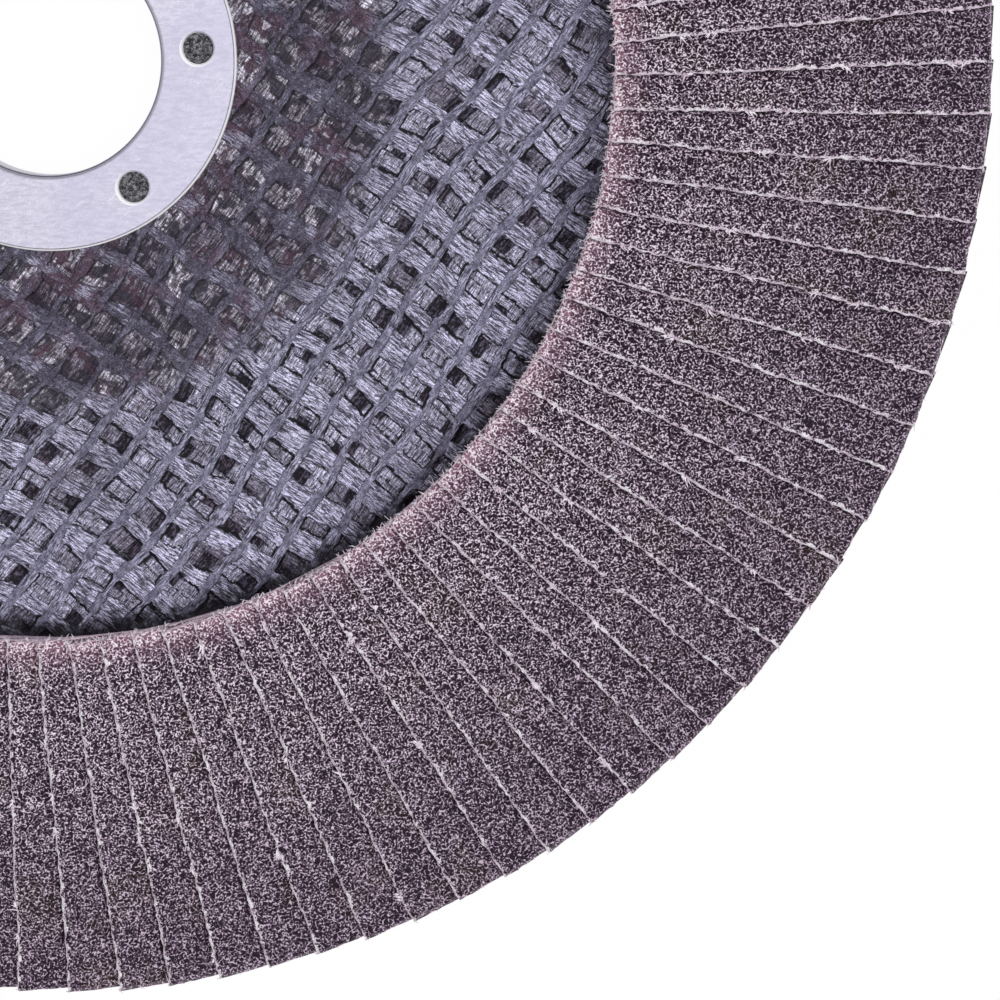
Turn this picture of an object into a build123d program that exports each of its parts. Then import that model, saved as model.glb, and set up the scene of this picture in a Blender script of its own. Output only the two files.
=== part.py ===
from build123d import *
import os
from math import ceil, cos, hypot, radians, sin, sqrt, tan

os.makedirs("parts", exist_ok=True)

# Depressed-centre flap disc, in millimetres.
# The origin is on the axis, in the plane of the hub's back face. +Z points to the abrasive side.

# overall
disc_diameter = 180.0
bore_diameter = 22.23
fit_clearance = 0.05        # between pieces that are glued, pressed or laid on each other

# backing plate: flat hub, cone and flat flange, pressed from one laminate
flap_overhang = 5.0         # of the flaps past the plate's edge
plate_thickness = 3.0
hub_radius = 20.5           # of the bend where the hub meets the cone
flange_radius = 33.0        # of the bend where the cone meets the flange
dish_rise = 5.0             # from the hub's back face to the flange's back face
bend_radius = 2.5           # inside of the two bends

# glass cloth pressed into the front of the flange: ridges one way, wide flat yarns the other, and a sunk
# window between each two
ridge_pitch = 4.2
ridge_width = 1.9
yarn_pitch = 4.9
yarn_width = 2.4
window_depth = 0.5
weave_angle = -35.0         # of the wide yarns, from +X
weave_margin = 0.6          # between the windows and the flange's bend or the flaps

# steel centre ring: a washer drawn into a collar that is flared behind the plate
ring_diameter = 36.8
ring_thickness = 0.8
ring_edge_bevel = 0.25
collar_wall = 0.5
lip_bevel = 0.35            # where the washer turns down into the bore
flare_depth = 0.8
pin_hole_diameter = 3.0
pin_hole_count = 6
pin_hole_bevel = 0.15
pin_hole_angle = 3.3        # of the first hole, from +X

# abrasive flaps: each lies on the next one clockwise, with its free edge on top
flap_count = 114
flaps_per_node = 2
flap_length = 34.5
flap_width = 15.0
flap_thickness = 1.1        # along the axis
free_edge_offset = 3.55     # from the disc's radius that runs parallel to the edge
first_flap_angle = 1.4

# cured adhesive that carries the flaps, stepped under each root
bed_inset = 1.5             # from the flaps' inner ends
bed_margin = 1.5            # inside the plate's edge
bed_thickness = 0.8

# sizes that follow
plate_diameter = disc_diameter - 2 * flap_overhang
pin_hole_circle = (bore_diameter + ring_diameter) / 2
bore_radius = bore_diameter / 2
collar_radius = bore_radius + collar_wall
plate_bore_radius = collar_radius + fit_clearance
ring_top = plate_thickness + ring_thickness
flange_front = dish_rise + plate_thickness
bed_top = flange_front + bed_thickness
flap_seat = bed_top + fit_clearance
root_offset = flap_width - free_edge_offset
flap_end = sqrt((disc_diameter / 2) ** 2 - root_offset ** 2)
flap_start = flap_end - flap_length
bed_start = flap_start + bed_inset
bed_end = sqrt((plate_diameter / 2 - bed_margin) ** 2 - root_offset ** 2)

# Neighbours are closest at their inner ends, so a flap is tilted until its underside climbs by one flap's
# thickness there, over the width that it moves along in one step of the pattern.
flap_step_angle = 360 / flap_count
flap_step = radians(flap_step_angle)
inner_step = flap_start * sin(flap_step) - root_offset * (1 - cos(flap_step))
flap_slope = (flap_thickness + fit_clearance) / inner_step
flap_climb = flap_slope * flap_width


def across(reach):
    # the plane square to a flap's length, at a distance from the axis: x along its width, y up
    return Plane(origin=(reach, 0, 0), x_dir=(0, 1, 0), z_dir=(1, 0, 0))


# backing plate: one thickness of laminate, bent twice, with the cloth's windows sunk in its flange
flare_mouth = bore_radius + flare_depth + (collar_wall + fit_clearance) * sqrt(2)
window_length = ridge_pitch - ridge_width
window_width = yarn_pitch - yarn_width
window_reach = hypot(window_length, window_width) / 2
weave_start = flange_radius + weave_margin
weave_end = flap_start - weave_margin
weave_rows = ceil(2 * weave_end / yarn_pitch)
weave_columns = ceil(2 * weave_end / ridge_pitch)


def lies_on_flange(window):
    distance = hypot(window.position.X, window.position.Y)
    return weave_start < distance - window_reach and distance + window_reach < weave_end


with BuildPart() as backing_plate:
    with BuildSketch(Plane.XZ):
        with BuildLine():
            FilletPolyline(
                (plate_bore_radius, plate_thickness / 2),
                (hub_radius, plate_thickness / 2),
                (flange_radius, plate_thickness / 2 + dish_rise),
                (plate_diameter / 2, plate_thickness / 2 + dish_rise),
                radius=bend_radius + plate_thickness / 2,
            )
        trace(line_width=plate_thickness)
    revolve(axis=Axis.Z)
    back_edges = backing_plate.edges().filter_by(GeomType.CIRCLE).group_by(Axis.Z)[0]
    chamfer(back_edges.sort_by(SortBy.RADIUS)[0], flare_mouth - plate_bore_radius)
    with BuildSketch(Plane.XY.offset(flange_front).rotated((0, 0, weave_angle))):
        weave = GridLocations(ridge_pitch, yarn_pitch, weave_columns, weave_rows)
        with Locations(*filter(lies_on_flange, weave)):
            Rectangle(window_length, window_width)
    extrude(amount=-window_depth, mode=Mode.SUBTRACT)
backing_plate.part.label = "backing_plate"
export_step(backing_plate.part, "parts/backing_plate.step")


# centre ring
flare_back = bore_radius + flare_depth
flare_rim = flare_back + collar_wall * sqrt(2)

with BuildPart() as centre_ring:
    with BuildSketch(Plane.XZ) as ring_section:
        with BuildLine():
            Polyline(
                (bore_radius, ring_top),
                (bore_radius, flare_depth),
                (flare_back, 0),
                (flare_rim, 0),
                (collar_radius, flare_rim - collar_radius),
                (collar_radius, plate_thickness),
                (ring_diameter / 2, plate_thickness),
                (ring_diameter / 2, ring_top),
                close=True,
            )
        make_face()
        chamfer(ring_section.vertices().group_by(Axis.Y)[-1].sort_by(Axis.X)[-1], ring_edge_bevel)
        chamfer(ring_section.vertices().group_by(Axis.Y)[-1].sort_by(Axis.X)[0], lip_bevel)
    revolve(axis=Axis.Z)
    with Locations(Plane.XY.offset(ring_top)):
        with PolarLocations(pin_hole_circle / 2, pin_hole_count, start_angle=pin_hole_angle):
            Hole(pin_hole_diameter / 2, depth=ring_thickness)
    washer_top = centre_ring.faces().filter_by(GeomType.PLANE).sort_by(Axis.Z)[-1]
    pin_hole_edges = washer_top.edges().sort_by(SortBy.RADIUS)[:pin_hole_count]
    chamfer(pin_hole_edges, pin_hole_bevel)
centre_ring.part.label = "centre_ring"
export_step(centre_ring.part, "parts/centre_ring.step")


# one flap, along +X: a flat strip of cloth, tilted about its length
with BuildPart() as flap:
    with BuildSketch(across(flap_start)):
        with BuildLine():
            Polyline(
                (root_offset, flap_seat),
                (-free_edge_offset, flap_seat + flap_climb),
                (-free_edge_offset, flap_seat + flap_climb + flap_thickness),
                (root_offset, flap_seat + flap_thickness),
                close=True,
            )
        make_face()
    extrude(amount=flap_length)

# the flaps, numbered clockwise
for node in range(ceil(flap_count / flaps_per_node)):
    first = node * flaps_per_node
    last = min(first + flaps_per_node, flap_count)
    with BuildPart() as flap_pair:
        for number in range(first, last):
            with PolarLocations(0, 1, start_angle=first_flap_angle - number * flap_step_angle):
                add(flap.part)
    flap_pair.part.label = f"flap_pair_{node + 1:02d}"
    export_step(flap_pair.part, f"parts/{flap_pair.part.label}.step")


# adhesive bed: one step under each flap, from the flap's root face to the next one's
step_start = root_offset + fit_clearance
widest_step = 2 * bed_end * tan(flap_step)
root_normal = Vector(0, 1, 0).rotate(Axis.Z, -flap_step_angle)

with BuildPart() as bed_step:
    with BuildSketch(across(bed_start)):
        with BuildLine():
            Polyline(
                (step_start, flange_front),
                (step_start, bed_top),
                (step_start - widest_step, bed_top + flap_slope * widest_step),
                (step_start - widest_step, flange_front),
                close=True,
            )
        make_face()
    extrude(amount=bed_end - bed_start)
    split(bisect_by=Plane(origin=root_normal * step_start, z_dir=root_normal), keep=Keep.TOP)

with BuildPart() as adhesive_bed:
    with PolarLocations(0, flap_count, start_angle=first_flap_angle):
        add(bed_step.part)
adhesive_bed.part.label = "adhesive_bed"
export_step(adhesive_bed.part, "parts/adhesive_bed.step")
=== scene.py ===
import bpy
import math
import numpy as np
from mathutils import Matrix, Vector
from types import SimpleNamespace


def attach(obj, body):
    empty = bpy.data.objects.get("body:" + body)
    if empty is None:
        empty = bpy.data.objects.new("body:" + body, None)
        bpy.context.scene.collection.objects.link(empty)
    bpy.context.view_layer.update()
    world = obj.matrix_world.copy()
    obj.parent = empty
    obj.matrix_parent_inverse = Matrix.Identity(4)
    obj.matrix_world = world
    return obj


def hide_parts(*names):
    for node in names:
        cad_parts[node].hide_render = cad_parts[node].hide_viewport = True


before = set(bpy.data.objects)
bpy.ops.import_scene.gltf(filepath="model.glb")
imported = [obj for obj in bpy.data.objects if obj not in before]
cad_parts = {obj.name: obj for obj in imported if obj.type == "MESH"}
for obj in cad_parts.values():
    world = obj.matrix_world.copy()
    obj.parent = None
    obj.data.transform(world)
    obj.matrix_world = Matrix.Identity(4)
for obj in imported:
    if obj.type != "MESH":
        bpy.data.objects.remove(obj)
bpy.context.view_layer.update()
print("frame loaded,", len(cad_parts), "nodes")
mm = 0.001


# shader maths
class Val:
    # wraps one output socket, so that sums of values read as plain expressions
    def __init__(self, tree, output):
        self.tree = tree
        self.output = output

    def node(self, kind, settings=None, sockets=None, out=0):
        made = self.tree.nodes.new(kind)
        for key, value in (settings or {}).items():
            setattr(made, key, value)
        for key, value in (sockets or {}).items():
            if isinstance(value, Val):
                self.tree.links.new(value.output, made.inputs[key])
            else:
                made.inputs[key].default_value = value
        return Val(self.tree, made.outputs[out])

    def maths(self, operation, *others):
        sockets = {0: self}
        sockets.update({k + 1: other for k, other in enumerate(others)})
        return self.node("ShaderNodeMath", {"operation": operation}, sockets)

    def __add__(self, other):
        return self.maths("ADD", other)

    def __radd__(self, other):
        return self.maths("ADD", other)

    def __sub__(self, other):
        return self.maths("SUBTRACT", other)

    def __rsub__(self, other):
        return (self * -1) + other

    def __mul__(self, other):
        return self.maths("MULTIPLY", other)

    def __truediv__(self, other):
        return self.maths("DIVIDE", other)

    def __pow__(self, other):
        return self.maths("POWER", other)

    def absolute(self):
        return self.maths("ABSOLUTE")

    def fraction(self):
        return self.maths("FRACT")

    def whole(self):
        return self.maths("FLOOR")

    def sine(self):
        return self.maths("SINE")

    def most(self, other):
        return self.maths("MAXIMUM", other)

    def least(self, other):
        return self.maths("MINIMUM", other)

    def toWhole(self):
        # distance from the nearest whole number
        return ((self + 0.5).fraction() - 0.5).absolute()

    def step(self, low, high):
        # 0 below low, 1 above high and smooth between; low may be above high
        return self.node("ShaderNodeMapRange", {"interpolation_type": "SMOOTHSTEP"},
                         {"Value": self, "From Min": low, "From Max": high, "To Min": 0.0, "To Max": 1.0})

    def line(self, middle, outer, inner):
        # 1 where this value is within inner of the middle, 0 where it is further off than outer
        return (self - middle).absolute().step(outer, inner)

    def blend(self, first, second):
        # a number between first and second, by this value
        return self.node("ShaderNodeMix", {"data_type": "FLOAT"}, {0: self, 2: first, 3: second})

    def paint(self, first, second):
        # a colour between first and second, by this value
        return self.node("ShaderNodeMix", {"data_type": "RGBA"}, {0: self, 6: first, 7: second}, out=2)

    def parts(self):
        owner = self.node("ShaderNodeSeparateXYZ", None, {0: self}).output.node
        return [Val(self.tree, owner.outputs[k]) for k in range(3)]

    def point(self, x, y, z):
        return self.node("ShaderNodeCombineXYZ", None, {0: x, 1: y, 2: z})

    def stretch(self, x, y, z):
        return self.node("ShaderNodeVectorMath", {"operation": "MULTIPLY"}, {0: self, 1: (x, y, z)})

    def turned(self, angle):
        sockets = {"Vector": self, "Rotation": (0, 0, angle)}
        return self.node("ShaderNodeMapping", {"vector_type": "POINT"}, sockets)

    def grain(self, scale, detail=2.0, rough=0.5, warp=0.0):
        # noise from 0 to 1 about 0.5, at this point
        sockets = {"Vector": self, "Scale": scale, "Detail": detail, "Roughness": rough, "Distortion": warp}
        return self.node("ShaderNodeTexNoise", {"noise_dimensions": "3D"}, sockets)

    def scatter(self):
        # three random numbers, as a colour
        return self.node("ShaderNodeTexWhiteNoise", {"noise_dimensions": "3D"}, {"Vector": self}, out=1)


def rgb(red, green, blue):
    # 0 to 255 as shown on a screen, to the linear colour that the shader takes
    shares = [c / 255 for c in (red, green, blue)]
    linear = [s / 12.92 if s <= 0.04045 else ((s + 0.055) / 1.055) ** 2.4 for s in shares]
    return (*linear, 1.0)


def startMaterial(name, metallic=0.0, specular=0.5, coat=0.0):
    # the returned place is the point in millimetres
    material = bpy.data.materials.new(name)
    material.use_nodes = True
    tree = material.node_tree
    shader = tree.nodes["Principled BSDF"]
    shader.inputs["Metallic"].default_value = metallic
    shader.inputs["Specular IOR Level"].default_value = specular
    shader.inputs["Coat Weight"].default_value = coat
    toMillimetres = 1 / mm
    place = Val(tree, tree.nodes.new("ShaderNodeTexCoord").outputs["Object"])
    return material, shader, place.stretch(toMillimetres, toMillimetres, toMillimetres)


def attribute(place, name):
    return place.node("ShaderNodeAttribute", {"attribute_name": name}, out="Fac")


def plug(shader, colour, roughness, height=None, reach=0.1, strength=1.0):
    # reach is in millimetres, and height is counted in reaches
    tree = shader.id_data
    tree.links.new(colour.output, shader.inputs["Base Color"])
    if isinstance(roughness, Val):
        tree.links.new(roughness.output, shader.inputs["Roughness"])
    else:
        shader.inputs["Roughness"].default_value = roughness
    if height is not None:
        sockets = {"Strength": strength, "Distance": reach * mm, "Height": height}
        bump = height.node("ShaderNodeBump", None, sockets)
        tree.links.new(bump.output, shader.inputs["Normal"])


# meshes
def smoothStep(value, low, high):
    t = np.clip((value - low) / (high - low), 0, 1)
    return t * t * (3 - 2 * t)


def makePiece(name, points, faces, materials, faceMaterial=None, uv=None, marks=None):
    # points (n, 3) in millimetres; faces is a list of (k, sides) arrays of point numbers
    mesh = bpy.data.meshes.new(name)
    corners = np.concatenate([f.ravel() for f in faces]).astype(np.int32)
    sides = np.concatenate([np.full(len(f), f.shape[1]) for f in faces])
    starts = np.concatenate([[0], np.cumsum(sides)[:-1]]).astype(np.int32)
    mesh.vertices.add(len(points))
    mesh.vertices.foreach_set("co", (points * mm).astype(np.float32).ravel())
    mesh.loops.add(len(corners))
    mesh.loops.foreach_set("vertex_index", corners)
    mesh.polygons.add(len(sides))
    mesh.polygons.foreach_set("loop_start", starts)
    if faceMaterial is not None:
        mesh.polygons.foreach_set("material_index", faceMaterial.astype(np.int32))
    mesh.update(calc_edges=True)
    mesh.polygons.foreach_set("use_smooth", np.full(len(sides), True))
    if uv is not None:
        layer = mesh.uv_layers.new(name="lattice")
        layer.data.foreach_set("uv", uv[corners].astype(np.float32).ravel())
    for mark, values in (marks or {}).items():
        written = mesh.attributes.new(mark, "FLOAT", "POINT")
        written.data.foreach_set("value", values.astype(np.float32).ravel())
    piece = bpy.data.objects.new(name, mesh)
    bpy.context.scene.collection.objects.link(piece)
    for material in materials:
        mesh.materials.append(material)
    return piece


def ringQuads(rows, columns, flip=False):
    # quads between neighbouring rows of a (rows, columns) grid of points, whose columns close on themselves
    here = np.arange(rows * columns).reshape(rows, columns)
    ahead = np.roll(here, -1, axis=1)
    quads = np.stack([here[:-1], here[1:], ahead[1:], ahead[:-1]], axis=-1).reshape(-1, 4)
    return quads[:, ::-1] if flip else quads


def repeated(faces, many, points):
    # the same faces for `many` bodies of `points` points each
    shift = (np.arange(many) * points)[:, None, None]
    return (faces[None] + shift).reshape(-1, faces.shape[1])


# camera, floor and light
studio = {
    "cameraPlace": (59.05, 4.38, 315.7),
    "cameraAim": (43.65, -41.28, 15.7),
    "cameraUp": (0.0074, 0.9885, -0.1508),
    "lens": 116.9, "sensor": 36.0,
    "nearest": 0.01, "furthest": 20.0,      # metres
    "skyColour": (0.985, 0.985, 1.0, 1.0),
    "skyStrength": 0.76,
    "sunStrength": 1.05,
    "sunFrom": (0.45, -0.10, 1.0),
    "sunAngle": 25.0,
    "floorHalf": 3.0,                       # metres
    "floorGlow": 0.97,
    "floorTones": (0.97, 1.0), "floorRough": 0.7,
}


def addCamera(s, scene):
    data = bpy.data.cameras.new("camera")
    data.lens = s["lens"]
    data.sensor_width = s["sensor"]
    data.sensor_fit = "HORIZONTAL"
    data.clip_start = s["nearest"]
    data.clip_end = s["furthest"]
    camera = bpy.data.objects.new("camera", data)
    scene.collection.objects.link(camera)
    place, aim = Vector(s["cameraPlace"]) * mm, Vector(s["cameraAim"]) * mm
    back = (place - aim).normalized()
    right = Vector(s["cameraUp"]).cross(back).normalized()
    turn = Matrix((right, back.cross(right), back)).transposed().to_4x4()
    turn.translation = place
    camera.matrix_world = turn
    scene.camera = camera


def addLight(s, scene):
    world = bpy.data.worlds.new("studioSky")
    world.use_nodes = True
    sky = world.node_tree.nodes["Background"]
    sky.inputs["Color"].default_value = s["skyColour"]
    sky.inputs["Strength"].default_value = s["skyStrength"]
    scene.world = world
    lamp = bpy.data.lights.new("softSun", "SUN")
    lamp.energy = s["sunStrength"]
    lamp.angle = math.radians(s["sunAngle"])
    sun = bpy.data.objects.new("softSun", lamp)
    sun.rotation_euler = Vector(s["sunFrom"]).to_track_quat("Z", "Y").to_euler()
    scene.collection.objects.link(sun)


def addFloor(s, scene):
    # a sheet that glows where the camera or a mirror sees it, and is plain paper for all other light
    half = s["floorHalf"]
    mesh = bpy.data.meshes.new("floor")
    corners = [(-half, -half, 0), (half, -half, 0), (half, half, 0), (-half, half, 0)]
    mesh.from_pydata(corners, [], [(0, 1, 2, 3)])
    floor = bpy.data.objects.new("floor", mesh)
    scene.collection.objects.link(floor)
    material, shader, place = startMaterial("floorPaper")
    tree = material.node_tree
    tone = place.grain(0.02, 2.0).blend(*s["floorTones"])
    plug(shader, place.point(tone, tone, tone), s["floorRough"])
    glow = tree.nodes.new("ShaderNodeEmission")
    path = tree.nodes.new("ShaderNodeLightPath")
    seen = Val(tree, path.outputs["Is Camera Ray"]).most(Val(tree, path.outputs["Is Glossy Ray"]))
    mix = seen.node("ShaderNodeMixShader", None, {
        0: seen * s["floorGlow"], 1: Val(tree, shader.outputs[0]), 2: Val(tree, glow.outputs[0])})
    tree.links.new(mix.output, tree.nodes["Material Output"].inputs["Surface"])
    mesh.materials.append(material)


bpy.context.scene.view_settings.view_transform = "Standard"
addCamera(studio, bpy.context.scene)
addLight(studio, bpy.context.scene)
addFloor(studio, bpy.context.scene)
print("camera, floor and light ready")


# woven glass backing
weave = {
    "threadPitch": 3.5,        # between the narrow threads
    "yarnPitch": 4.1,          # between the wide flat yarns
    "threadTurn": 53.0,        # degrees, direction of the threads
    "yarnTurn": -35.0,
    "threadHalf": 0.43, "yarnHalf": 1.04,               # half widths in the top layer
    "underThreadHalf": 0.72, "underYarnHalf": 1.34,     # and in the layer below
    "threadRise": 0.04, "yarnSwell": 0.05,
    "windowDepth": 0.22, "gapDepth": 0.62,
    "slopeHalf": 0.16,         # half width of a sloping edge
    "wander": 1.3,             # how much the lattice wanders
    # waves of the wander: size, length, length across, phase
    "threadWaves": ((0.34, 9.3, math.inf, 1.1), (0.20, 4.1, 13.0, 2.0), (0.10, 1.7, 3.0, 0.0)),
    "yarnWaves": ((0.32, 8.2, math.inf, 0.7), (0.18, 3.7, 11.0, 0.4), (0.10, 1.9, 2.6, 0.0)),
    "backSeed": 2.6,           # moves the wander of the back
    "underSkew": 0.07,         # how far the layer below is turned against the top one
    "underShift": 0.7,         # most that it is moved under one window, in pitches
    "shiftU": (1.7, 2.9, 0.0, 7.13),    # factors that make a window's random shift
    "shiftV": (2.3, 1.3, 1.0, 9.7),
    # the top layer in the material
    "threadUneven": 0.62, "yarnUneven": 0.80,           # how much the windows differ in width and length
    "threadSlant": 0.9, "yarnSlant": 1.3,
    "crossingHalf": (1.35, 0.85),       # threads lie wide and smooth this near the middle of a yarn
}
plate = {
    "boreRadius": 11.665, "hubRadius": 20.5, "flangeRadius": 33.0, "rimRadius": 85.0,
    "hubFront": 3.0, "dishRise": 5.0, "thickness": 3.0, "bendWidth": 3.4,
    "ringRadius": 18.4, "bedRadius": 56.3,
    "skin": 0.02,              # how far the hidden rings lie under the solid's face
    "rimBevel": 0.4, "rimSide": 0.45, "edgeBevel": 0.35,
    "backRelief": 0.6,         # share of the weave's relief on the back
    "turns": 800, "fineRings": 92,
    "hubRings": [12.4, 14.6, 16.6], "hiddenRings": [60, 68, 76, 82],
}


def waver(along, across, waves, seed):
    # sum of waves: size * sin(along / length + across / lengthAcross + phase); the seed moves the first one
    total = 0
    for number, (size, length, lengthAcross, phase) in enumerate(waves):
        start = phase + seed if number == 0 else phase
        total = total + size * np.sin(along / length + across / lengthAcross + start)
    return total


def lattice(x, y, w, seed):
    # across the threads and across the yarns, counted in pitches: distance + wander * sum of waves
    a, b = math.radians(w["threadTurn"]), math.radians(w["yarnTurn"])
    p = x * math.sin(a) - y * math.cos(a)
    q = -x * math.sin(b) + y * math.cos(b)
    moved = p + w["wander"] * waver(q, p, w["threadWaves"], seed)
    movedToo = q + w["wander"] * waver(p, q, w["yarnWaves"], seed)
    return moved / w["threadPitch"], movedToo / w["yarnPitch"]


def toNearest(count):
    # distance from the nearest whole number
    return np.abs(count - np.round(count))


def windowShift(i, j, factors):
    # random number from 0 to 1 for a window: the fraction of sin(i * a + j * b + c) * d
    a, b, c, d = factors
    return np.mod(np.sin(i * a + j * b + c) * d, 1.0)


def underLayer(u, v, w):
    # the layer below lies across the top one, a little turned, and shifted window by window
    p, q = u * w["threadPitch"], v * w["yarnPitch"]
    i, j = np.floor(u), np.floor(v)
    across = (q + w["underSkew"] * p) / w["threadPitch"] + windowShift(i, j, w["shiftU"]) * w["underShift"]
    along = (p - w["underSkew"] * q) / w["yarnPitch"] + windowShift(i, j, w["shiftV"]) * w["underShift"]
    return across, along


def covered(count, pitch, half, slope):
    # 1 on a thread or yarn and 0 beside it, with a smooth slope about its half width
    return 1 - smoothStep(toNearest(count) * pitch, half - slope, half + slope)


def weaveHeight(u, v, w):
    # top threads and yarns at 0, windows sunk to the layer below, and deeper where that is open too
    slope = w["slopeHalf"]
    thread = covered(u, w["threadPitch"], w["threadHalf"], slope)
    yarn = covered(v, w["yarnPitch"], w["yarnHalf"], slope)
    top = np.maximum(thread, yarn)
    uBelow, vBelow = underLayer(u, v, w)
    threadBelow = covered(uBelow, w["threadPitch"], w["underThreadHalf"], slope)
    yarnBelow = covered(vBelow, w["yarnPitch"], w["underYarnHalf"], slope)
    below = np.maximum(threadBelow, yarnBelow)
    sunk = w["windowDepth"] * below + w["gapDepth"] * (1 - below)
    fromMiddle = np.clip(toNearest(v) * w["yarnPitch"] / w["yarnHalf"], 0, 1)
    swell = w["yarnSwell"] * np.cos(fromMiddle * math.pi / 2)
    return (top - 1) * sunk + thread * w["threadRise"] + (1 - thread) * yarn * swell


def dishProfile(radius, p):
    # the cone between hub and flange, its two bends rounded by a running mean
    spacing, reach = 0.01, 100
    fine = np.linspace(0, reach, round(reach / spacing) + 1)
    ramp = np.clip((fine - p["hubRadius"]) / (p["flangeRadius"] - p["hubRadius"]), 0, 1)
    width = int(p["bendWidth"] / spacing)
    padded = np.concatenate([np.zeros(width), ramp, np.ones(width)])
    soft = np.convolve(padded, np.ones(width) / width, mode="same")[width:-width]
    return p["dishRise"] * np.interp(radius, fine, soft)


def wovenDisc(radii, heights, relief, side, p, w):
    # z(r, angle) = height(r) + side * relief(r) * weave height; side is 1 for the front and -1 for the back
    angle = np.arange(p["turns"]) * 2 * math.pi / p["turns"]
    r = radii[:, None] + 0 * angle[None, :]
    x, y = r * np.cos(angle), r * np.sin(angle)
    u, v = lattice(x, y, w, 0.0 if side > 0 else w["backSeed"])
    z = heights[:, None] + side * relief[:, None] * weaveHeight(u, v, w)
    points, uv = np.stack([x, y, z], axis=-1), np.stack([u, v], axis=-1)
    return points.reshape(-1, 3), uv.reshape(-1, 2), r.reshape(-1)


def addPlateFront(p, w, glass):
    # the hub's face, the cone and the flange as far as the bed; the rings further out are hidden
    inner, outer = p["ringRadius"], p["bedRadius"]
    fine = np.linspace(inner - 0.6, outer + 0.7, p["fineRings"])
    last = p["rimRadius"] - p["rimBevel"]
    radii = np.concatenate([[p["boreRadius"]], p["hubRings"], fine, p["hiddenRings"], [last]])
    heights = p["hubFront"] + dishProfile(radii, p) - p["skin"]
    relief = smoothStep(radii, inner, inner + 0.8) * (1 - smoothStep(radii, outer, outer + 0.6))
    points, uv, r = wovenDisc(radii, heights, relief, 1, p, w)
    quads = ringQuads(len(radii), p["turns"])
    return makePiece("woven_front", points, [quads], [glass], uv=uv, marks={"radius": r})


def addPlateBack(p, w, glass):
    # the bore's wall, the back one thickness lower, and the rim
    bore, rim = p["boreRadius"], p["rimRadius"]
    fine = np.linspace(bore + 0.5, rim - 0.5, p["fineRings"])
    radii = np.concatenate([[bore] * 2, fine, [rim] * 2, [rim - p["rimBevel"]]])
    heights = dishProfile(radii, p)
    heights[0] = p["hubFront"] - p["skin"]
    heights[1] = p["edgeBevel"]
    heights[-3:] += [p["rimSide"], p["thickness"] - p["edgeBevel"], p["thickness"] - p["skin"]]
    relief = p["backRelief"] * smoothStep(radii, bore + 1.0, bore + 3.0)
    relief *= 1 - smoothStep(radii, rim - 2.5, rim - 0.8)
    relief[0] = relief[-3:] = 0
    points, uv, r = wovenDisc(radii, heights, relief, -1, p, w)
    points[:, 2] = np.maximum(points[:, 2], 0.0)        # nothing below the hub's back face
    quads = ringQuads(len(radii), p["turns"], flip=True)
    return makePiece("woven_back", points, [quads], [glass], uv=uv, marks={"radius": r})


def addPlate(p, w, glass):
    for piece in (addPlateFront(p, w, glass), addPlateBack(p, w, glass)):
        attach(piece, "root")
        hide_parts("backing_plate")


glassLook = {
    "yarnDark": rgb(82, 79, 96), "yarnLight": rgb(219, 216, 240), "yarnDull": rgb(94, 92, 110),
    "threadDark": rgb(62, 60, 75), "threadLight": rgb(182, 180, 202),
    "matteDark": rgb(80, 79, 96), "matteLight": rgb(140, 138, 158),
    "yarnSplit": rgb(32, 29, 40), "threadSplit": rgb(38, 36, 48), "belowSplit": rgb(30, 24, 33),
    "resinGrey": rgb(74, 70, 85), "resinMaroon": rgb(86, 64, 79), "resinPale": rgb(132, 124, 142),
    "resinDark": rgb(38, 32, 43), "resinVein": rgb(22, 17, 26),
    "belowDark": rgb(72, 67, 84), "belowLight": rgb(214, 211, 233),
    "soakedDark": rgb(34, 28, 38), "soakedDull": rgb(164, 154, 172), "soakedLight": rgb(246, 238, 252),
    "shutDark": rgb(36, 28, 39), "shutLight": rgb(112, 98, 114),
    "gapDark": rgb(22, 17, 27), "gapGrey": rgb(92, 84, 102), "gapMaroon": rgb(100, 67, 84),
    "poolGrey": rgb(48, 43, 55), "poolMaroon": rgb(76, 53, 67),
    "outline": rgb(12, 9, 16), "coneWindowShadow": rgb(18, 13, 20), "seam": rgb(26, 22, 32), "bedShade": rgb(14, 10, 15),
    "hubDark": rgb(18, 19, 20), "hubLight": rgb(150, 152, 150),
    "layerDark": rgb(48, 44, 54), "layerLight": rgb(138, 134, 150),
    # grain along and across a fibre, a stroke and a split, per millimetre
    "fibreLong": 0.80, "fibreFine": 8.5, "strokeLong": 0.70, "strokeFine": 4.4,
    "splitLong": 0.48, "splitFine": 3.0,
    # radii at which a zone begins and is full
    "resinRadii": (41.5, 35.0), "bedShadeInner": (53.3, 55.2), "bedShadeOuter": (58.0, 57.0),
    "hubRadii": (18.5, 18.2), "paintedLightRadii": (43.0, 50.0), "rimRadii": (84.85, 84.95),
    "fleckTones": (0.58, 1.48), "cloudTones": (0.80, 1.06), "paintedLightGain": 0.13, "blueGain": 1.05,
    "reliefReach": 0.35, "reliefStrength": 0.6,
}


def glassFields(place, w, look):
    # what the steps below share: lattice in pitches and in millimetres, ragged edges, nicks and resin
    g = SimpleNamespace(place=place, radius=attribute(place, "radius"))
    g.u, g.v = place.node("ShaderNodeUVMap", {"uv_map": "lattice"}).parts()[:2]
    g.p, g.q = g.u * w["threadPitch"], g.v * w["yarnPitch"]
    slow = place.grain(0.085, 2.0)
    g.rag = place.grain(2.3, 2.5, 0.6) - 0.5
    g.nick = place.grain(0.8, 1.0) - 0.5
    # resin floods the cone and leaves it smooth and dark
    flood = (g.radius + slow * 9.0).step(*look["resinRadii"]) * 0.92
    g.resin = (flood + slow.step(0.54, 0.70) * 0.30 + g.nick.step(0.12, 0.3) * 0.35).least(1.0)
    g.flooded = g.resin.step(0.25, 0.75)
    return g


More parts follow.
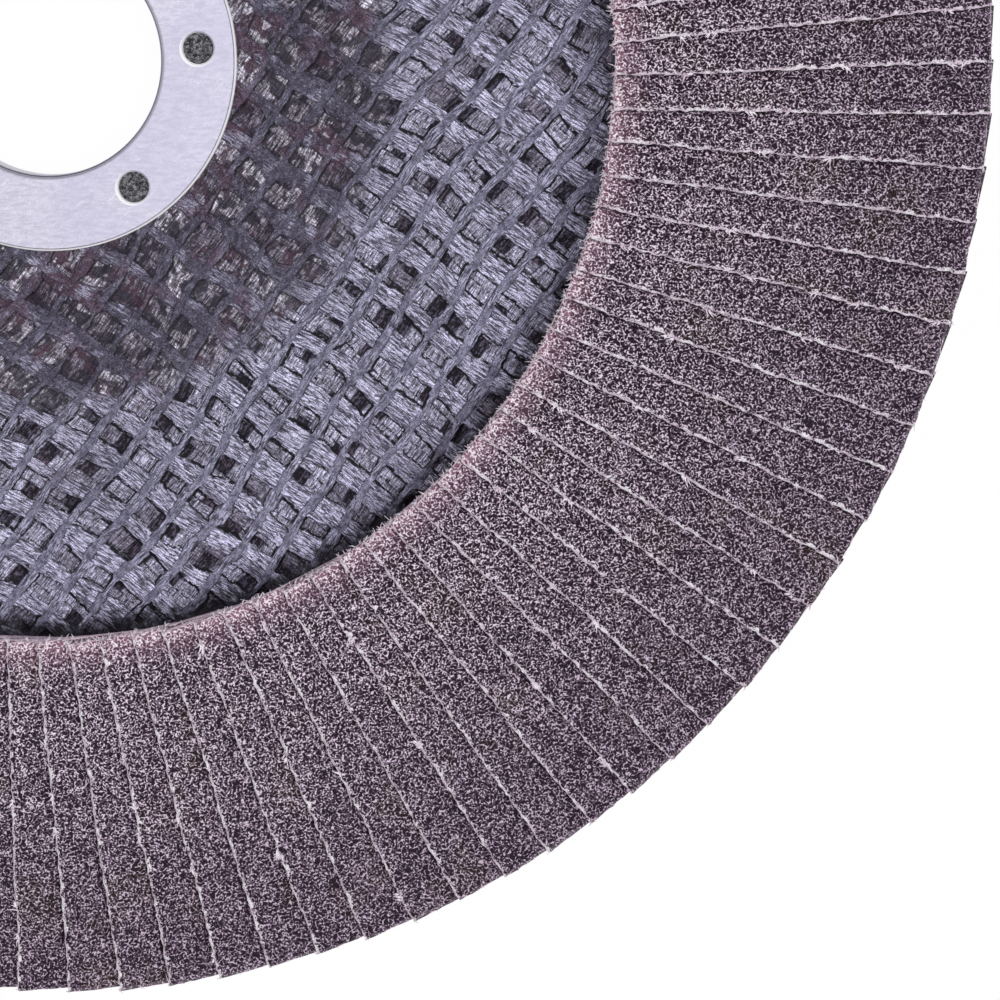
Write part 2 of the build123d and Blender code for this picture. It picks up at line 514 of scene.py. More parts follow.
def addFibres(g, look):
    # fibres: noise drawn out along each direction, their light strands partly painted sheen; splits and
    # cracks: where another noise passes its middle
    def drawn(x, y, layer):
        return g.place.point(x, y, layer).grain(1.0, 2.5, 0.65)

    def split(x, y, layer, width):
        shake = g.rag * 0.3
        return g.place.point(x + shake, y + shake, layer).grain(1.0, 2.0).line(0.5, width, 0.016)

    p, q, rag = g.p, g.q, g.rag
    g.yarnFibre = drawn(p * look["fibreLong"], q * look["fibreFine"] + rag, 3.0).step(0.37, 0.56)
    g.threadFibre = drawn(p * look["fibreFine"] + rag, q * look["fibreLong"], 9.0).step(0.37, 0.56)
    g.strokes = drawn(p * look["strokeFine"] + rag * 0.8, q * look["strokeLong"], 31.0).step(0.44, 0.58)
    g.yarnSplit = split(p * look["splitLong"], q * look["splitFine"], 13.0, 0.060)
    g.threadSplit = split(p * look["splitFine"], q * look["splitLong"], 19.0, 0.056)
    g.crack = g.place.grain(1.3, 3.0, 0.65, 0.4).line(0.5, 0.026, 0.006) * rag.step(-0.04, 0.08)


def addTopLayer(g, w):
    # every window has its own width, length and slant; the edge values are below 0 on a thread or yarn
    i, j = g.u.whole(), g.v.whole()
    fu, fv = g.u - i, g.v - j
    one, two, three = g.place.point(i, j, 0.5).scatter().parts()
    four, five, six = g.place.point(i, j, 7.5).scatter().parts()
    g.crossing = (g.v.toWhole() * w["yarnPitch"]).step(*w["crossingHalf"])
    apart = 1 - g.crossing
    spread = apart * w["threadUneven"]
    slantU = (fv - 0.5) * (five - 0.5) * w["threadSlant"] * apart
    slantV = (fu - 0.5) * (six - 0.5) * w["yarnSlant"]
    widen = g.resin * 0.08 - (g.rag * 0.30 + g.nick * 0.36) - w["threadHalf"]
    g.lowU = fu * w["threadPitch"] + widen - (one - 0.5) * spread + slantU
    highU = (1 - fu) * w["threadPitch"] + widen - (two - 0.5) * spread - slantU
    widen = g.resin * 0.22 - g.rag * 0.40 - g.nick * 0.70 - w["yarnHalf"]
    lowV = fv * w["yarnPitch"] + widen - (three - 0.5) * w["yarnUneven"] + slantV
    highV = (1 - fv) * w["yarnPitch"] + widen - (four - 0.5) * w["yarnUneven"] - slantV
    g.threadEdge, g.yarnEdge = g.lowU.least(highU), lowV.least(highV)
    g.thread, g.yarn = g.threadEdge.step(0.04, -0.04), g.yarnEdge.step(0.04, -0.04)
    g.window = g.threadEdge.least(g.yarnEdge).step(-0.02, 0.04)
    # a shadow of another width on every side of a window
    shadows = [(g.lowU, two, 0.40), (highU, three, 0.36), (lowV, five, 0.38), (highV, six, 0.38)]
    besideLowU, besideHighU, besideLowV, besideHighV = [
        (edge - chance * width).step(-0.03, -0.10) for edge, chance, width in shadows]
    g.shadow = besideLowU.most(besideHighU).most(besideLowV.most(besideHighV))
    g.i, g.j = i, j
    g.windowTone = four
    g.yarnTone = (three * 7.3 + j * 0.37).fraction()    # each stretch of yarn has its own tone


def addLayerBelow(g, w):
    # the same layer as in underLayer, its edges ragged, and painted shade lines along them
    def shift(factors):
        a, b, c, d = factors
        return ((g.i * a + g.j * b + c).sine() * d).fraction()

    g.shiftU = shift(w["shiftU"])
    uBelow = (g.q + g.p * w["underSkew"]) / w["threadPitch"] + g.shiftU * w["underShift"]
    vBelow = (g.p - g.q * w["underSkew"]) / w["yarnPitch"] + shift(w["shiftV"]) * w["underShift"]
    threadEdge = uBelow.toWhole() * w["threadPitch"] - w["underThreadHalf"] - g.rag * 0.35
    yarnEdge = vBelow.toWhole() * w["yarnPitch"] - w["underYarnHalf"] - g.rag * 0.35
    g.yarnBelow = yarnEdge.step(0.06, -0.06)
    g.below = threadEdge.step(0.06, -0.06).most(g.yarnBelow)
    # painted shade: dark lines on some sides of each window and along the edges of the layer below
    outline = g.shadow * (g.rag + g.nick * 0.6).step(0.22, 0.06)
    outline = outline.most(threadEdge.line(0.0, 0.13, 0.05) * g.rag.step(-0.08, 0.08))
    g.outline = outline.most(yarnEdge.line(0.0, 0.10, 0.04) * 0.6) * g.window


def resinColour(g, look):
    cloudy = g.place.grain(1.5, 3.0, 0.7)
    veins = cloudy.line(0.53, 0.034, 0.010) * g.rag.step(-0.08, 0.08)
    colour = g.maroon.paint(look["resinGrey"], look["resinMaroon"])
    colour = (g.place.grain(2.2, 4.0, 0.7).step(0.50, 0.60) * 0.60).paint(colour, look["resinPale"])
    colour = (cloudy.step(0.47, 0.38) * 0.70).paint(colour, look["resinDark"])
    return (veins * 0.85).paint(colour, look["resinVein"])


def yarnColour(g, look, resinPaint, bare):
    colour = g.yarnFibre.paint(look["yarnDark"], look["yarnLight"])
    colour = (g.yarnTone.step(0.35, 1.0) * 0.35).paint(colour, look["yarnDull"])
    colour = (g.yarnSplit * 0.85).most(g.crack * 0.75).paint(colour, look["yarnSplit"])
    return (g.resin * (1 - bare * 0.50)).paint(colour, resinPaint)


def threadColour(g, look, resinPaint, bare):
    matte = g.place.grain(1.9, 4.0, 0.7).step(0.36, 0.64).paint(look["matteDark"], look["matteLight"])
    colour = g.threadFibre.paint(look["threadDark"], look["threadLight"])
    colour = (g.crossing * 0.70 + g.place.grain(0.7, 2.0).step(0.56, 0.44) * 0.22).paint(colour, matte)
    colour = (g.threadSplit * (0.75 - g.crossing * 0.45)).paint(colour, look["threadSplit"])
    return (g.resin * (0.95 - bare * 0.3)).paint(colour, resinPaint)


def belowColour(g, look):
    # fibres of the layer below, shut windows, gaps through it, pools of resin and painted shade lines at the
    # windows' edges
    lit = g.yarnBelow.blend(g.yarnFibre, g.threadFibre)
    lit = g.flooded.blend(lit, g.strokes * 0.7 + g.threadFibre * 0.3)
    soaked = g.windowTone.step(0.0, 0.50).paint(look["soakedDull"], look["soakedLight"])
    dark = g.flooded.paint(look["belowDark"], look["soakedDark"])
    colour = lit.paint(dark, g.flooded.paint(look["belowLight"], soaked))
    shut = g.shiftU.step(0.60, 0.95) * (0.62 - g.flooded * 0.20)
    colour = shut.paint(colour, lit.paint(look["shutDark"], look["shutLight"]))
    colour = (g.threadSplit.most(g.yarnSplit) * 0.65).most(g.crack * 0.6).paint(colour, look["belowSplit"])
    gapLit = (g.place.grain(2.6, 3.0, 0.7) + (g.strokes - 0.5) * 0.2).step(0.46, 0.66)
    gapLight = (g.maroon * (g.flooded * 0.6 + 0.3)).paint(look["gapGrey"], look["gapMaroon"])
    colour = g.below.most(g.flooded * 0.75).paint(gapLit.paint(look["gapDark"], gapLight), colour)
    pool = (g.place.grain(0.62, 2.0) + g.nick * 0.5 + g.rag * 0.25).step(0.47, 0.54) * g.flooded * g.window
    colour = (pool * 0.88).paint(colour, g.maroon.paint(look["poolGrey"], look["poolMaroon"]))
    colour = (g.outline * (1 - g.flooded * 0.55)).paint(colour, look["outline"])
    # painted shadow along the low-u side of each window where resin floods the cone
    return (g.lowU.step(0.34, 0.05) * g.flooded * 0.85).paint(colour, look["coneWindowShadow"])


def seams(g):
    # dark lines where a thread leaves a yarn and where a yarn ends at a window
    broken = (g.nick + g.rag * 0.5).step(-0.04, 0.06)
    byThread = g.threadEdge.line(0.0, 0.10, 0.03) * g.yarn.most(0.5) * broken
    byYarn = g.yarnEdge.line(0.0, 0.10, 0.03) * g.rag.step(0.10, 0.0) * (1 - g.thread)
    return byThread.most(byYarn) * (1 - g.resin * 0.25)


def zoneColours(g, look, colour):
    # painted shade by the bed under the flaps' inner ends, the bare hub seen through the pin holes, and slow
    # and fine changes of tone with painted light towards the flaps
    # painted shade: the weave darkened by radius under the flaps' inner ends
    bedShade = (g.radius + g.rag * 2.4 + g.nick * 3.0).step(*look["bedShadeInner"])
    bedShade = bedShade * g.radius.step(*look["bedShadeOuter"])
    colour = (bedShade * 0.88).paint(colour, look["bedShade"])
    mottle = g.place.stretch(1.2, 1.2, 1.0).grain(2.4, 3.0, 0.7, 0.8).step(0.40, 0.66)
    hubColour = mottle.paint(look["hubDark"], look["hubLight"])
    colour = (g.radius.step(*look["hubRadii"]) * 0.8).paint(colour, hubColour)
    fleck = g.place.grain(9.0, 1.0, 0.6).step(0.34, 0.66).blend(*look["fleckTones"])
    cloud = g.place.grain(0.35, 2.0).blend(*look["cloudTones"])
    # painted light: the weave lightened from about 43 mm outwards, where the flaps cast their shade
    tint = (cloud + g.radius.step(*look["paintedLightRadii"]) * look["paintedLightGain"]) * fleck
    gain = g.place.point(tint, tint, tint * look["blueGain"])
    colour = tint.node("ShaderNodeVectorMath", {"operation": "MULTIPLY"}, {0: colour, 1: gain})
    # layers of the laminate on the rim
    layers = g.place.stretch(0.35, 0.35, 3.4).grain(1.0, 3.0, 0.6).step(0.38, 0.62)
    layers = layers.paint(look["layerDark"], look["layerLight"])
    return g.radius.step(*look["rimRadii"]).paint(colour, layers)


def glassMaterial(w, look):
    material, shader, place = startMaterial("glassWeave", specular=0.22)
    g = glassFields(place, w, look)
    addFibres(g, look)
    addTopLayer(g, w)
    addLayerBelow(g, w)
    g.maroon = place.grain(0.17, 3.0, 0.6).step(0.50, 0.60)
    resinPaint = resinColour(g, look)
    bare = (place.grain(0.5, 2.0) + g.rag * 0.3).step(0.50, 0.60)       # fibres left bare of resin
    colour = g.yarn.paint(belowColour(g, look), yarnColour(g, look, resinPaint, bare))
    colour = g.thread.paint(colour, threadColour(g, look, resinPaint, bare))
    colour = (seams(g) * 0.80).paint(colour, look["seam"])
    colour = zoneColours(g, look, colour)
    besideThread = 1 - g.thread
    height = g.yarn * 0.3 * besideThread + g.thread * 0.30 + g.below * 0.12
    fibreHeight = g.yarnFibre * g.yarn * besideThread + g.threadFibre * (1 - g.yarn)
    height = height + fibreHeight * 0.07 - (g.yarnSplit + g.threadSplit) * 0.05
    rough = g.yarnFibre * 0.12 + 0.42 + g.thread * 0.12
    plug(shader, colour, rough, height, look["reliefReach"], look["reliefStrength"])
    return material


addPlate(plate, weave, glassMaterial(weave, glassLook))
print("woven backing made")


# steel centre ring
ring = {
    "holeCircle": 14.757, "firstHole": 3.3, "holeStep": 60.0,   # millimetres and degrees
    "holeEdge": (1.74, 1.64),           # distance from a hole's middle at which its bevel begins and is full
    "litFrom": (-0.75, -0.66),          # side of a hole whose bevel shines
    "outerEdge": (18.19, 18.28), "lipRadii": (11.62, 11.5), "lineRadius": 11.22,
    "steel": rgb(211, 208, 226), "scuffed": rgb(226, 223, 238), "scratch": rgb(242, 240, 250),
    "sparkle": rgb(252, 252, 255), "speck": rgb(184, 178, 200), "cloud": rgb(205, 201, 228),
    # edge is a painted highlight; lip and line are painted shade at the bore
    "edge": rgb(254, 254, 255), "lip": rgb(182, 181, 190), "line": rgb(84, 84, 92),
}


def holeHighlight(x, y, d):
    # painted highlight on the bevel round the nearest pin hole, brightest on the side that the light comes
    # from
    pitch, first = math.radians(d["holeStep"]), math.radians(d["firstHole"])
    nearest = ((y.maths("ARCTAN2", x) - first) / pitch + 0.5).whole() * pitch + first
    fromX = x - nearest.maths("COSINE") * d["holeCircle"]
    fromY = y - nearest.sine() * d["holeCircle"]
    hole = (fromX * fromX + fromY * fromY) ** 0.5
    litX, litY = d["litFrom"]
    facing = (fromX * litX + fromY * litY) / hole
    return (hole - facing * 0.10).step(*d["holeEdge"]) * (0.62 + facing * 0.38)


def steelMaterial(d):
    # crossed scratches and specks, painted highlights on the outer edge and the pin holes' bevels, and
    # painted shade on the lip with a darker painted line at the bore
    material, shader, place = startMaterial("ringSteel", metallic=1.0)
    x, y = place.parts()[:2]
    scuffs = place.stretch(0.9, 3.2, 1.0).grain(1.0, 3.0, 0.7)
    crossed = place.turned(0.9).stretch(4.0, 0.7, 1.0).grain(1.0, 3.0, 0.7)
    speckle = place.grain(4.2, 3.0, 0.7)
    cloud = place.grain(0.12, 2.0)
    colour = scuffs.step(0.35, 0.65).paint(d["steel"], d["scuffed"])
    colour = (crossed.step(0.57, 0.68) * 0.6).paint(colour, d["scratch"])
    colour = (speckle.step(0.58, 0.68) * 0.65).paint(colour, d["sparkle"])
    colour = (speckle.step(0.42, 0.32) * 0.45).paint(colour, d["speck"])
    colour = (cloud.step(0.4, 0.65) * 0.4).paint(colour, d["cloud"])
    radius = (x * x + y * y) ** 0.5
    # painted highlights: white and hardly metallic on the outer edge and the pin holes' bevels
    edge = radius.step(*d["outerEdge"]).most(holeHighlight(x, y, d))
    colour = edge.paint(colour, d["edge"])
    # painted shade on the rolled lip, and a darker painted line where it turns down into the bore
    colour = (radius.step(*d["lipRadii"]) * 0.6).paint(colour, d["lip"])
    colour = (radius.line(d["lineRadius"], 0.07, 0.02) * 0.8).paint(colour, d["line"])
    metal = 1 - edge * 0.85
    place.tree.links.new(metal.output, shader.inputs["Metallic"])
    rough = scuffs * 0.2 + crossed * 0.12 + 0.24
    height = scuffs * 0.5 + crossed * 0.3 + speckle * 0.5
    plug(shader, colour, rough, height, reach=0.02, strength=0.5)
    return material


def finishNode(name, material):
    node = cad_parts[name]
    node.data.materials.clear()
    node.data.materials.append(material)


finishNode("centre_ring", steelMaterial(ring))


# adhesive bed
bed = {
    "dark": rgb(48, 33, 36), "light": rgb(96, 66, 70), "speck": rgb(140, 105, 108),
    "lumpScale": 0.8, "fineScale": 5.0, "coat": 0.15,
}


def adhesiveMaterial(d):
    material, shader, place = startMaterial("curedAdhesive", coat=d["coat"])
    lumps = place.grain(d["lumpScale"], 3.0, 0.6)
    fine = place.grain(d["fineScale"], 2.0)
    colour = lumps.step(0.35, 0.65).paint(d["dark"], d["light"])
    colour = (fine.step(0.6, 0.7) * 0.5).paint(colour, d["speck"])
    plug(shader, colour, fine * 0.3 + 0.35, lumps + fine * 0.3, reach=0.3, strength=0.7)
    return material


finishNode("adhesive_bed", adhesiveMaterial(bed))
print("ring and adhesive finished")


# abrasive flaps
flap = {
    "count": 114, "firstAngle": 1.4,
    "start": 54.769, "end": 89.269,     # along the flap
    "root": 11.45, "free": -3.55,       # across it
    "seat": 8.85, "slope": 0.3834, "thickness": 1.1,
    "underside": (6.0, 1.0),            # the section's other points, across the flap
    "top": (-2.75, -2.2, -1.6, -1.0, -0.3, 0.5, 1.4, 2.6, 5.5),
    "sideShares": (0.0, 0.42, 0.74, 0.82, 0.97),    # heights on the free side, as shares of the thickness
    "rootShare": 0.55,
    "ledge": 0.13,                      # bare cloth along the free edge
    "leastLedge": 0.04,
    "ledgeNoise": ((0.13, 1.3), (0.06, 7.0)),       # size in millimetres, spacing in rows
    "edgeNoise": ((0.10, 1.3), (0.09, 14.0)),
    "liftNoise": ((0.10, 24.0), (0.05, 9.0)),
    "rippleSize": 0.03, "rippleSpacing": 3.0,
    "endSpread": 0.18, "endRag": 0.06,              # how unevenly the flaps end at the rim
    "startBack": 0.22, "startSpread": 0.26, "startRag": 0.16,      # and at their inner ends
    "liftRadii": (60.0, 75.0),          # the waviness grows between these
    "clearance": 0.05,
    "droop": 0.75, "droopStart": -1.2,  # how far the free side sinks into the gap below it, and from where
    "rows": 104, "pieces": 4,
    "seed": 11,
}
lip, ledgeColumn, gritColumn, topColumn = 5, 6, 7, 8    # columns of a flap's section, edge to top


def softNoise(random, count, length, spacing):
    # random values every `spacing`, joined by cosine steps: (count, length) from -1 to 1
    knots = random.uniform(-1, 1, (count, int(length / spacing) + 3))
    at = np.arange(length) / spacing
    low = at.astype(int)
    t = (1 - np.cos((at - low) * math.pi)) / 2
    return knots[:, low] * (1 - t) + knots[:, low + 1] * t


def flapSection(f):
    # share of the thickness and place across the flap, point by point: underside, free side, top and root
    free, root, side = f["free"], f["root"], f["sideShares"]
    share = np.array([0, *[0] * len(f["underside"]), *side, *[1.0] * len(f["top"]), 1.0, f["rootShare"]])
    across = np.array([root, *f["underside"], *[free] * len(side), *f["top"], root, root])
    return share, across


def flapGrid(f):
    # each flap: its section carried along u; z = seat + slope * (root - v) + share * thickness + unevenness
    random = np.random.default_rng(f["seed"])
    rows, count = f["rows"], f["count"]
    share, across = flapSection(f)
    columns = len(share)
    topLast = columns - 2

    def noise(parts):
        (size, spacing), (otherSize, otherSpacing) = parts
        first = size * softNoise(random, count, rows, spacing)
        return first, otherSize * softNoise(random, count, rows, otherSpacing)

    v = np.tile(across, (count, rows, 1))
    fine, slow = noise(f["ledgeNoise"])
    ledge = f["ledge"] + fine + slow
    fine, slow = noise(f["edgeNoise"])
    edge = fine + slow
    edge -= edge.min(axis=1, keepdims=True) * 0.7
    ledge = np.maximum(ledge, f["leastLedge"])
    v[:, :, lip - 2:lip + 1] += edge[:, :, None]
    v[:, :, ledgeColumn] += edge + ledge
    v[:, :, gritColumn] += edge + ledge + 0.06
    fade = np.linspace(1, 0, topLast - topColumn)
    v[:, :, topColumn:topLast] += (edge + ledge)[:, :, None] * fade[None, None, :] * 0.6

    # length: ragged ends, some flaps a little shorter
    along = np.linspace(0, 1, rows)
    ends = f["end"] - random.uniform(0.0, f["endSpread"], count)[:, None]
    ends = ends - f["endRag"] * np.abs(random.normal(0, 1, (count, columns))).clip(0, 2)
    starts = f["start"] - f["startBack"] + random.uniform(0, f["startSpread"], count)[:, None]
    starts = starts + f["startRag"] * random.uniform(0, 1, (count, columns))
    u = starts[:, None, :] + (ends - starts)[:, None, :] * along[None, :, None]

    # gentle waviness of the top and of the free side, more towards the rim
    outward = smoothStep(u, *f["liftRadii"])
    fine, slow = noise(f["liftNoise"])
    lift = (fine + slow)[:, :, None]
    free = np.clip((f["root"] - v) / (f["root"] - f["free"]), 0, 1) ** 2
    ripple = softNoise(random, count * columns, rows, f["rippleSpacing"]).reshape(count, columns, rows)
    ripple = ripple.transpose(0, 2, 1) * f["rippleSize"] - f["rippleSize"]
    top = (np.arange(columns) >= gritColumn) & (np.arange(columns) <= topLast)
    gap = np.maximum(u * math.radians(360.0 / count) * f["slope"] - f["thickness"] - f["clearance"], 0)
    droop = f["droop"] * gap * smoothStep(-v, f["droopStart"], -f["free"])
    z = f["seat"] + f["slope"] * (f["root"] - v) + np.tile(share * f["thickness"], (count, rows, 1))
    z = z + outward * lift * free + ripple * top[None, None, :] - droop
    tone = np.broadcast_to(random.uniform(0, 1, count)[:, None, None], u.shape)
    return u, v, z, tone


def addFlaps(f, grit, cloth):
    # the flaps stand side by side round the axis, as a few pieces of many flaps each
    u, v, z, tone = flapGrid(f)
    count, rows, columns = u.shape
    angle = np.radians(f["firstAngle"] - np.arange(count) * 360.0 / count)
    cos, sin = np.cos(angle)[:, None, None], np.sin(angle)[:, None, None]
    points = np.stack([u * cos - v * sin, u * sin + v * cos, z], axis=-1)
    pitch = math.radians(360.0 / count)
    # cover is the distance to the edge of the flap that lies on this one
    cover = u * math.tan(pitch) + f["free"] / math.cos(pitch) - v
    marks = {"tone": tone, "cover": cover, "fromEdge": v - v[:, :, lip:lip + 1], "along": u}

    stripe = np.tile(np.arange(columns), rows - 1)
    isCloth = ~((stripe >= lip) & (stripe < columns - 2))
    quads = ringQuads(rows, columns)
    innerCap = np.arange(columns)
    outerCap = (innerCap + (rows - 1) * columns)[::-1]
    caps = np.stack([innerCap, outerCap])
    cuts = np.linspace(0, count // 2, f["pieces"] + 1).astype(int)      # counted in pairs of flaps
    for k in range(f["pieces"]):
        first, last = cuts[k] * 2, cuts[k + 1] * 2
        many = last - first
        faces = [repeated(quads, many, rows * columns), repeated(caps, many, rows * columns)]
        kinds = np.concatenate([np.tile(isCloth, many), np.ones(2 * many, bool)]).astype(int)
        here = {mark: values[first:last] for mark, values in marks.items()}
        place = points[first:last].reshape(-1, 3)
        piece = makePiece(f"flaps_{k + 1}", place, faces, [grit, cloth], kinds, marks=here)
        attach(piece, "root")
        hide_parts(*[f"flap_pair_{n + 1:02d}" for n in range(cuts[k], cuts[k + 1])])
    return u, v, z, angle


gritLook = {
    "bond": rgb(34, 20, 34), "oliveBond": rgb(40, 29, 24), "wornBond": rgb(120, 84, 102),
    "grainDark": rgb(74, 59, 75), "grainLight": rgb(102, 86, 102), "oliveGrain": rgb(104, 90, 84),
    "innerGrain": rgb(140, 122, 138), "wornGrain": rgb(178, 146, 162),
    "glintOuter": rgb(196, 177, 196), "glintInner": rgb(238, 221, 236),
    "frayDark": rgb(142, 104, 122), "frayLight": rgb(255, 243, 251),
    "paleDark": rgb(230, 210, 226), "paleLight": rgb(255, 248, 255),
    "rim": rgb(190, 176, 190), "shade": rgb(28, 20, 27),
    "coarseScale": 2.9, "fineScale": 6.0,
    "wormWidth": (0.150, 0.045), "glintWidth": (0.052, 0.0),
    "innerAlong": (90.0, 56.0), "wornAlong": (58.5, 55.5),
    "frayAlong": (55.9, 55.2), "rimAlong": (88.85, 89.05),
    "paleWidth": (0.31, 0.14), "shadeWidth": (0.22, 0.0),
    "flapOffset": 90.0,                 # moves the noise from flap to flap
}


def gritMaterial(look):
    # grains: light worms on a dark bond, where narrow-band noise passes its middle, with painted glints along
    # the thinnest
    material, shader, place = startMaterial("abrasiveGrit", specular=0.15)
    tone, cover = attribute(place, "tone"), attribute(place, "cover")
    fromEdge, along = attribute(place, "fromEdge"), attribute(place, "along")
    x, y, z = place.parts()
    moved = place.point(x, y, z + tone * look["flapOffset"])
    coarse, fine = moved.grain(look["coarseScale"], 0.5, 0.5, 0.2), moved.grain(look["fineScale"], 0.0)
    worms = (coarse - 0.5).absolute() + (fine - 0.5) * 0.30
    clusters = moved.grain(0.35, 2.0)
    olive = moved.grain(0.12, 2.0).step(0.50, 0.66)
    # lighter towards the inner ends and darker towards the rim
    inner = along.step(*look["innerAlong"])
    worn = along.step(*look["wornAlong"])               # worn and pinkish by the inner ends
    dark = (olive * 0.6).paint(look["bond"], look["oliveBond"])
    dark = (worn * 0.45).paint(dark, look["wornBond"])
    middle = clusters.step(0.35, 0.65).paint(look["grainDark"], look["grainLight"])
    middle = (olive * 0.5).paint(middle, look["oliveGrain"])
    middle = (inner * 0.35).paint(middle, look["innerGrain"])
    middle = (worn * 0.45).paint(middle, look["wornGrain"])
    # painted glints along the middle of the worms, whiter towards the inner ends
    bright = inner.paint(look["glintOuter"], look["glintInner"])
    glints = worms.step(*look["glintWidth"])
    colour = worms.step(*look["wormWidth"]).paint(dark, middle)
    colour = glints.paint(colour, bright)
    # frayed band at the inner end, pale line by the free edge, dark contact line under the covering flap
    ragged = (coarse - 0.5) * 1.4 + (fine - 0.5) * 1.4
    fray = (along + ragged + (clusters - 0.5) * 1.2).step(*look["frayAlong"])
    frayed = worms.step(0.13, 0.01).paint(look["frayDark"], look["frayLight"])
    colour = (fray * 0.9).paint(colour, frayed)
    spots = moved.grain(1.1, 1.0)
    pale = (fromEdge + ragged * 0.32 + (0.5 - spots) * 0.60).step(*look["paleWidth"])
    paleColour = spots.step(0.48, 0.62).paint(look["paleDark"], look["paleLight"])
    colour = (pale * 0.84).paint(colour, paleColour)
    rim = (along + ragged * 0.3).step(*look["rimAlong"])
    colour = (rim * 0.15).paint(colour, look["rim"])
    shade = (cover + (coarse - 0.5) * 0.8).step(*look["shadeWidth"])
    colour = (shade * 0.5).paint(colour, look["shade"])
    plug(shader, colour, fine * 0.3 + 0.5, glints * 0.6 - worms * 2.0, reach=0.16, strength=0.7)
    return material


clothLook = {
    "dark": rgb(196, 158, 174), "light": rgb(255, 242, 250),
    "tuft": rgb(116, 74, 92), "tone": rgb(196, 152, 170),
}


def clothMaterial(look):
    material, shader, place = startMaterial("flapCloth", specular=0.2)
    strands = place.stretch(3.5, 3.5, 9.0).grain(1.0, 3.0, 0.6)
    tufts = place.grain(2.4, 3.0, 0.65)
    colour = strands.step(0.38, 0.54).paint(look["dark"], look["light"])
    colour = (tufts.step(0.54, 0.64) * 0.50).paint(colour, look["tuft"])
    colour = (attribute(place, "tone") * 0.25).paint(colour, look["tone"])
    plug(shader, colour, tufts * 0.2 + 0.72, strands + tufts * 0.6, reach=0.12, strength=0.7)
    return material


flapPlaces = addFlaps(flap, gritMaterial(gritLook), clothMaterial(clothLook))
print("flaps made")


# loose threads at the flap edges
lint = {
    "radius": 0.07, "tipShare": 0.4, "curl": 0.35, "ceiling": 15.95, "seed": 5,
    "columns": range(4, 13),            # columns of the section from which the threads at the ends start
    # ranges of a thread's direction along the flap, across it and up, of its length, and its thickness
    "edge": {"each": 26, "length": (0.15, 0.55), "thick": 0.8,
             "ways": ((0.6, 1.0), (-0.45, 0.35), (-0.15, 0.25))},
    "tuft": {"each": 10, "length": (0.20, 0.60), "thick": 1.7,
             "ways": ((0.1, 1.0), (-0.7, 0.2), (-0.15, 0.15))},
    "inner": {"each": 31, "length": (0.15, 0.50), "thick": 1.1,
              "ways": ((0.2, 1.0), (-0.8, 0.8), (-0.5, 0.15))},
    "rim": {"each": 6, "length": (0.15, 0.4), "thick": 0.9,
            "ways": ((-0.2, 0.25), (-0.9, 0.9), (-0.6, 0.2))},
    "tuftsPerFlap": 2.0, "innerDrop": 0.6,
    "light": rgb(255, 248, 255), "dark": rgb(228, 210, 224),
}


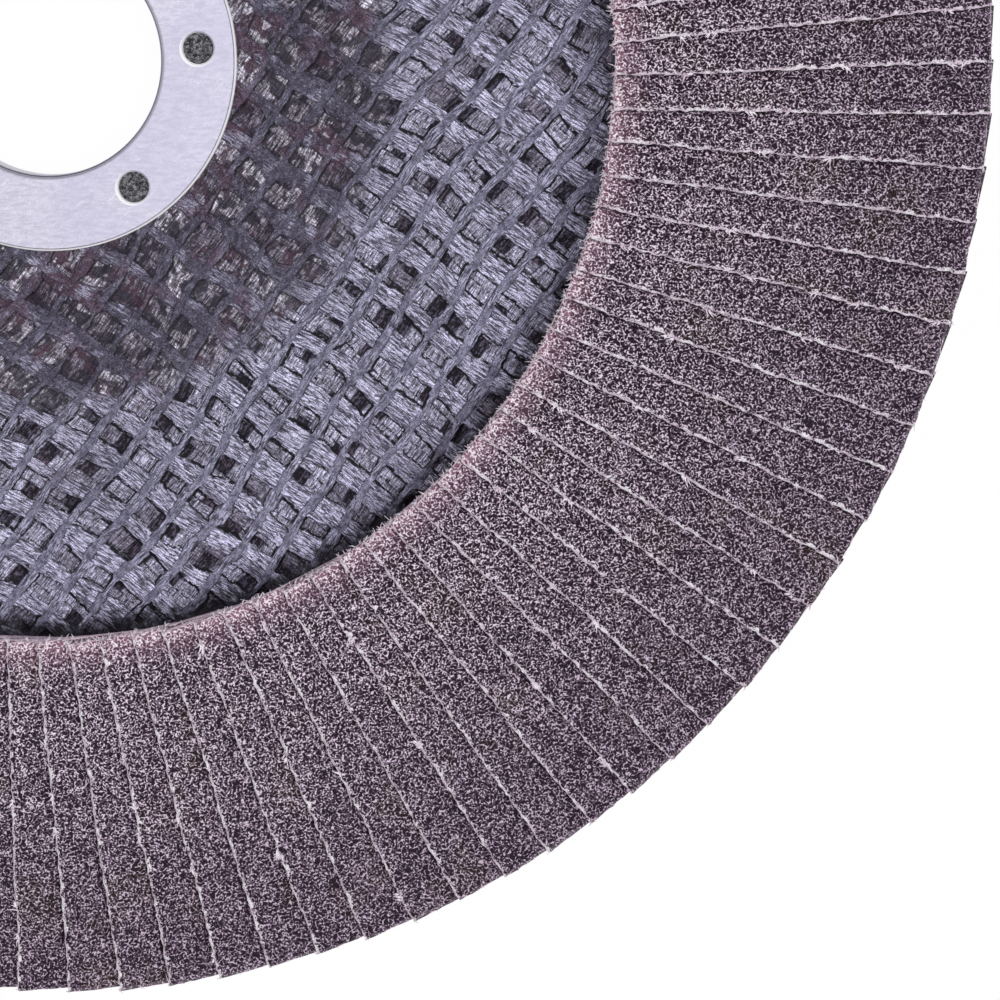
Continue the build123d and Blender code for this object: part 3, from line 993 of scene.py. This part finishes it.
def threadSets(d, u, v, z):
    # flap number, start, direction, length and thickness of every thread, in its flap's own frame
    random = np.random.default_rng(d["seed"])
    count, rows = u.shape[:2]

    def startAt(which, row, column):
        return np.stack([u[which, row, column], v[which, row, column], z[which, row, column]], axis=-1)

    def spread(kind, columns, rowLow, rowHigh):
        which = np.repeat(np.arange(count), kind["each"])
        row = random.integers(rowLow, rowHigh, len(which))
        return which, startAt(which, row, random.choice(columns, len(which)))

    def ways(kind, many):
        return np.stack([random.uniform(low, high, many) for low, high in kind["ways"]], axis=-1)

    def finished(kind, which, start, way):
        many = len(which)
        return which, start, way, random.uniform(*kind["length"], many), np.full(many, kind["thick"])

    which, start = spread(d["edge"], [lip, ledgeColumn], 1, rows - 1)
    lean = random.choice([-1.0, 1.0], len(which))
    way = ways(d["edge"], len(which))
    way[:, 0] *= lean
    sets = [finished(d["edge"], which, start, way)]

    each = d["tuft"]["each"]
    tufts = random.choice(count, int(count * d["tuftsPerFlap"]))
    row = random.integers(6, rows - 4, len(tufts))
    which = np.repeat(tufts, each)
    row = np.repeat(row, each) + random.integers(-1, 2, len(which))
    lean = np.repeat(random.choice([-1.0, 1.0], len(tufts)), each)
    way = ways(d["tuft"], len(which))
    way[:, 0] *= lean
    sets.append(finished(d["tuft"], which, startAt(which, row, lip), way))

    which, start = spread(d["inner"], d["columns"], 0, 1)
    start[:, 2] -= random.uniform(0.0, d["innerDrop"], len(which))
    way = ways(d["inner"], len(which))
    way[:, 0] *= -1                     # towards the axis
    sets.append(finished(d["inner"], which, start, way))

    which, start = spread(d["rim"], d["columns"], rows - 1, rows)
    sets.append(finished(d["rim"], which, start, ways(d["rim"], len(which))))
    which, start, way, length, thick = [np.concatenate(column) for column in zip(*sets)]
    way /= np.linalg.norm(way, axis=1, keepdims=True)
    bend = random.normal(0, d["curl"], way.shape) * [1, 1, 0.35]
    return which, start, way, bend, length, thick


def turned(vectors, angle):
    # each vector turned about the axis by its own angle
    x, y, z = vectors.T
    cos, sin = np.cos(angle), np.sin(angle)
    return np.stack([x * cos - y * sin, x * sin + y * cos, z], axis=-1)


def addLint(d, places, fibre):
    # thread: P(t) = start + length * (t * direction + t * t * bend), a three-sided tube that thins to its tip
    u, v, z, flapAngle = places
    which, start, way, bend, length, thick = threadSets(d, u, v, z)
    start, way, bend = [turned(vectors, flapAngle[which]) for vectors in (start, way, bend)]
    rows, sides = 4, 3
    t = np.linspace(0, 1, rows)
    path = t[None, :, None] * way[:, None] + (t ** 2)[None, :, None] * bend[:, None]
    spine = start[:, None] + length[:, None, None] * path
    side = np.cross(way, [0, 0, 1.0])
    side /= np.linalg.norm(side, axis=1, keepdims=True) + 1e-9
    up = np.cross(side, way)
    thirds = np.radians([90, 210, 330])
    radius = (d["radius"] * thick)[:, None] * (1 - (1 - d["tipShare"]) * t)[None, :]
    offset = np.cos(thirds)[None, :, None] * side[:, None] + np.sin(thirds)[None, :, None] * up[:, None]
    points = spine[:, :, None] + radius[:, :, None, None] * offset[:, None]
    points[..., 2] = np.minimum(points[..., 2], d["ceiling"])
    caps = np.array([[0, 1, 2], [11, 10, 9]])
    faces = [repeated(mesh, len(which), rows * sides) for mesh in (ringQuads(rows, sides), caps)]
    piece = makePiece("loose_threads", points.reshape(-1, 3), faces, [fibre])
    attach(piece, "root")


def fibreMaterial(d):
    material, shader, place = startMaterial("looseFibre", specular=0.2)
    tone = place.grain(1.4, 2.0)
    plug(shader, tone.step(0.35, 0.65).paint(d["dark"], d["light"]), tone * 0.2 + 0.6)
    return material


addLint(lint, flapPlaces, fibreMaterial(lint))
print("loose threads made")
